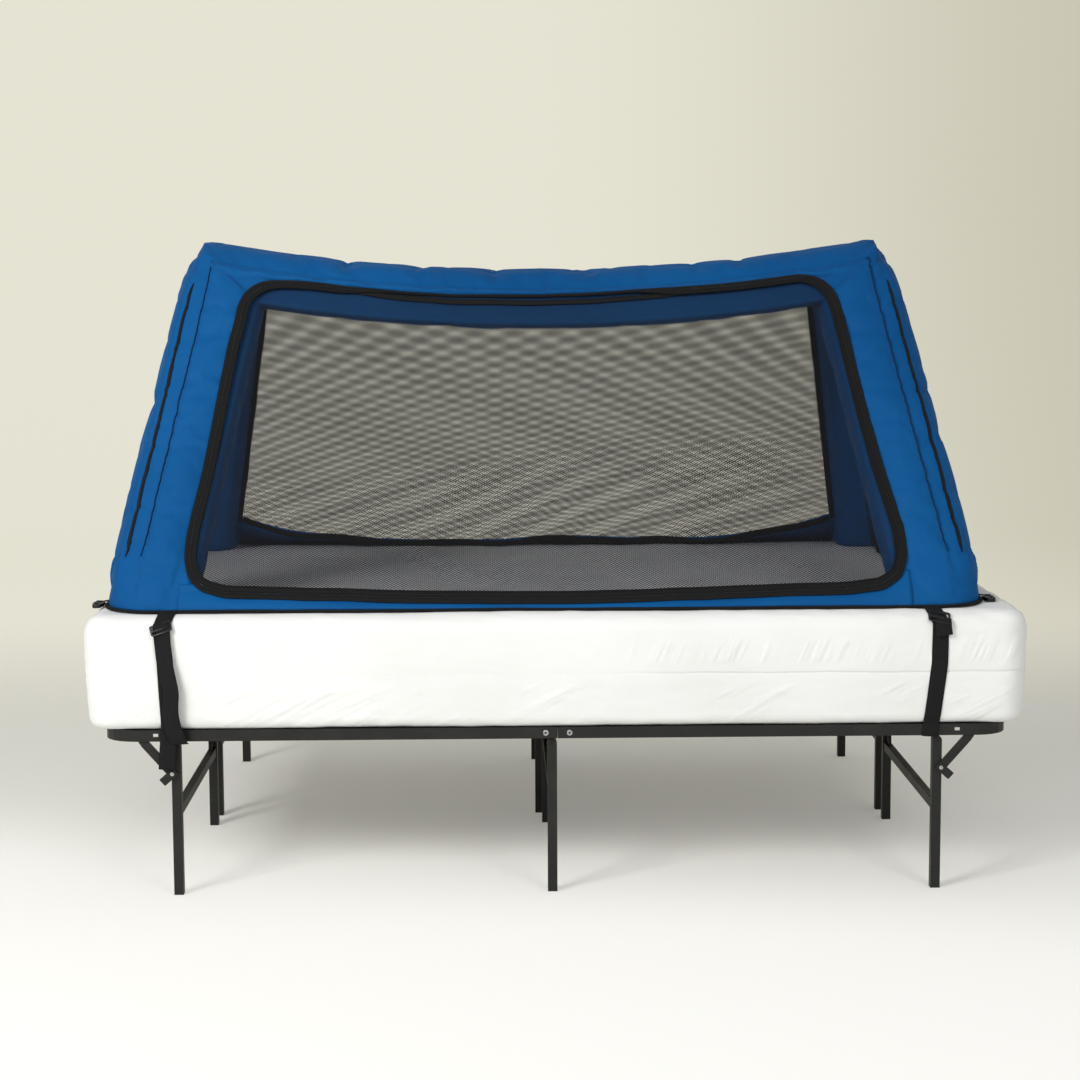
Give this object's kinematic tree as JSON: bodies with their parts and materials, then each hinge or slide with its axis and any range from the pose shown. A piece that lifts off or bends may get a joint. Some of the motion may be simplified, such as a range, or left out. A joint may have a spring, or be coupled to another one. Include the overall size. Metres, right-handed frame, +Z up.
{
  "type": "inflatable travel bed",
  "caption": "Inflatable mesh-sided sleeping enclosure in blue fabric, strapped over a mattress on a folding steel platform bed frame with folding legs.",
  "frame": {"origin": "on the floor, under the middle of the mattress and its steel frame", "axes": "+X along the length of the bed, +Z up, and the door of the enclosure faces -Y"},
  "size_m": [1.984, 1.4214, 1.3729],
  "materials": {
    "frame_steel": "charcoal powder coat",
    "rivet_steel": "plain steel",
    "mattress_foam": "open foam",
    "mattress_cover": "smooth white fitted cover",
    "sleeve_fabric": "satin blue woven nylon",
    "air_beam_film": "grey film",
    "floor_fabric": "plain pale fabric",
    "black_mesh": "open black netting",
    "black_webbing": "black webbing and zip tape",
    "black_plastic": "black moulded plastic"
  },
  "bodies": {
    "bed": {"platform_front_left": "frame_steel", "platform_front_right": "frame_steel", "fold_hinge_front_outer": "rivet_steel", "fold_hinge_front_inner": "rivet_steel", "front_left_column_sleeve": "sleeve_fabric", "front_left_column_air_beam": "air_beam_film", "front_left_column_zip": "black_webbing", "strap_front_left": "black_webbing", "ladder_lock_front_left": "black_plastic", "front_right_column_sleeve": "sleeve_fabric", "front_right_column_air_beam": "air_beam_film", "front_right_column_zip": "black_webbing", "strap_front_right": "black_webbing", "ladder_lock_front_right": "black_plastic", "front_top_beam_sleeve": "sleeve_fabric", "front_top_air_beam": "air_beam_film", "platform_back_left": "frame_steel", "platform_back_right": "frame_steel", "fold_hinge_back_outer": "rivet_steel", "fold_hinge_back_inner": "rivet_steel", "back_left_column_sleeve": "sleeve_fabric", "back_left_column_air_beam": "air_beam_film", "back_left_column_zip": "black_webbing", "strap_back_left": "black_webbing", "ladder_lock_back_left": "black_plastic", "back_right_column_sleeve": "sleeve_fabric", "back_right_column_air_beam": "air_beam_film", "back_right_column_zip": "black_webbing", "strap_back_right": "black_webbing", "ladder_lock_back_right": "black_plastic", "back_top_beam_sleeve": "sleeve_fabric", "back_top_air_beam": "air_beam_film", "mattress_core": "mattress_foam", "mattress_cover": "mattress_cover", "floor_sheet": "floor_fabric", "hem_binding": "black_webbing", "roof_panel": "sleeve_fabric", "door_zip": "black_webbing", "back_window_mesh": "black_mesh", "left_window_mesh": "black_mesh", "right_window_mesh": "black_mesh"},
    "leg_frame_front_left": {"leg_frame_front_left": "frame_steel"},
    "leg_frame_front_centre": {"leg_frame_front_centre": "frame_steel"},
    "leg_frame_front_right": {"leg_frame_front_right": "frame_steel"},
    "brace_front_left_pair": {"brace_front_left_outer": "frame_steel", "brace_front_left_inner": "frame_steel"},
    "brace_front_right_pair": {"brace_front_right_outer": "frame_steel", "brace_front_right_inner": "frame_steel"},
    "leg_frame_back_left": {"leg_frame_back_left": "frame_steel"},
    "leg_frame_back_centre": {"leg_frame_back_centre": "frame_steel"},
    "leg_frame_back_right": {"leg_frame_back_right": "frame_steel"},
    "brace_back_left_pair": {"brace_back_left_outer": "frame_steel", "brace_back_left_inner": "frame_steel"},
    "brace_back_right_pair": {"brace_back_right_outer": "frame_steel", "brace_back_right_inner": "frame_steel"},
    "front_door": {"front_door_mesh": "black_mesh"},
    "corner_buckle_left": {"corner_buckle_left": "black_plastic"},
    "corner_buckle_right": {"corner_buckle_right": "black_plastic"},
    "zip_slider_left": {"zip_slider_left": "black_plastic"},
    "zip_slider_right": {"zip_slider_right": "black_plastic"}
  },
  "joints": [
    {"name": "leg_fold_front_left", "type": "hinge", "parent": "bed", "child": "leg_frame_front_left", "pos_m": [-0.802, -0.3575, 0.319], "axis": [0, -1, 0], "range_deg": [0, 85]},
    {"name": "leg_fold_front_centre", "type": "hinge", "parent": "bed", "child": "leg_frame_front_centre", "pos_m": [-0.0115, -0.3575, 0.319], "axis": [0, 1, 0], "range_deg": [0, 85]},
    {"name": "leg_fold_front_right", "type": "hinge", "parent": "bed", "child": "leg_frame_front_right", "pos_m": [0.802, -0.3575, 0.319], "axis": [0, 1, 0], "range_deg": [0, 85]},
    {"name": "brace_pivot_front_left", "type": "hinge", "parent": "leg_frame_front_left", "child": "brace_front_left_pair", "pos_m": [-0.805, -0.3575, 0.265], "axis": [0, 1, 0], "range_deg": [0, 42.5]},
    {"name": "brace_pivot_front_right", "type": "hinge", "parent": "leg_frame_front_right", "child": "brace_front_right_pair", "pos_m": [0.805, -0.3575, 0.265], "axis": [0, -1, 0], "range_deg": [0, 42.5]},
    {"name": "leg_fold_back_left", "type": "hinge", "parent": "bed", "child": "leg_frame_back_left", "pos_m": [-0.802, 0.3575, 0.319], "axis": [0, -1, 0], "range_deg": [0, 85]},
    {"name": "leg_fold_back_centre", "type": "hinge", "parent": "bed", "child": "leg_frame_back_centre", "pos_m": [-0.026, 0.3575, 0.319], "axis": [0, 1, 0], "range_deg": [0, 85]},
    {"name": "leg_fold_back_right", "type": "hinge", "parent": "bed", "child": "leg_frame_back_right", "pos_m": [0.802, 0.3575, 0.319], "axis": [0, 1, 0], "range_deg": [0, 85]},
    {"name": "brace_pivot_back_left", "type": "hinge", "parent": "leg_frame_back_left", "child": "brace_back_left_pair", "pos_m": [-0.805, 0.3575, 0.265], "axis": [0, 1, 0], "range_deg": [0, 42.5]},
    {"name": "brace_pivot_back_right", "type": "hinge", "parent": "leg_frame_back_right", "child": "brace_back_right_pair", "pos_m": [0.805, 0.3575, 0.265], "axis": [0, -1, 0], "range_deg": [0, 42.5]},
    {"name": "door_swing", "type": "hinge", "parent": "bed", "child": "front_door", "pos_m": [-0.022, -0.64154, 0.63267], "axis": [1, 0, 0], "range_deg": [0, 118]},
    {"name": "slider_left_run", "type": "slide", "parent": "bed", "child": "zip_slider_left", "axis": [-0.9998, -0.0107, -0.0184], "range_m": [0, 0.5]},
    {"name": "slider_right_run", "type": "slide", "parent": "bed", "child": "zip_slider_right", "axis": [0.9973, 0.0367, 0.0633], "range_m": [0, 0.1]},
    {"name": "corner_buckle_lift_left", "type": "hinge", "parent": "bed", "child": "corner_buckle_left", "pos_m": [-0.9775, -0.53, 0.602], "axis": [-1, 0, 0], "range_deg": [0, 90]},
    {"name": "corner_buckle_lift_right", "type": "hinge", "parent": "bed", "child": "corner_buckle_right", "pos_m": [0.9335, -0.53, 0.602], "axis": [-1, 0, 0], "range_deg": [0, 90]}
  ],
  "couplings": [
    {"joint": "brace_pivot_front_left", "follows": "leg_fold_front_left", "ratio": 0.5},
    {"joint": "brace_pivot_front_right", "follows": "leg_fold_front_right", "ratio": 0.5},
    {"joint": "brace_pivot_back_left", "follows": "leg_fold_back_left", "ratio": 0.5},
    {"joint": "brace_pivot_back_right", "follows": "leg_fold_back_right", "ratio": 0.5}
  ]
}
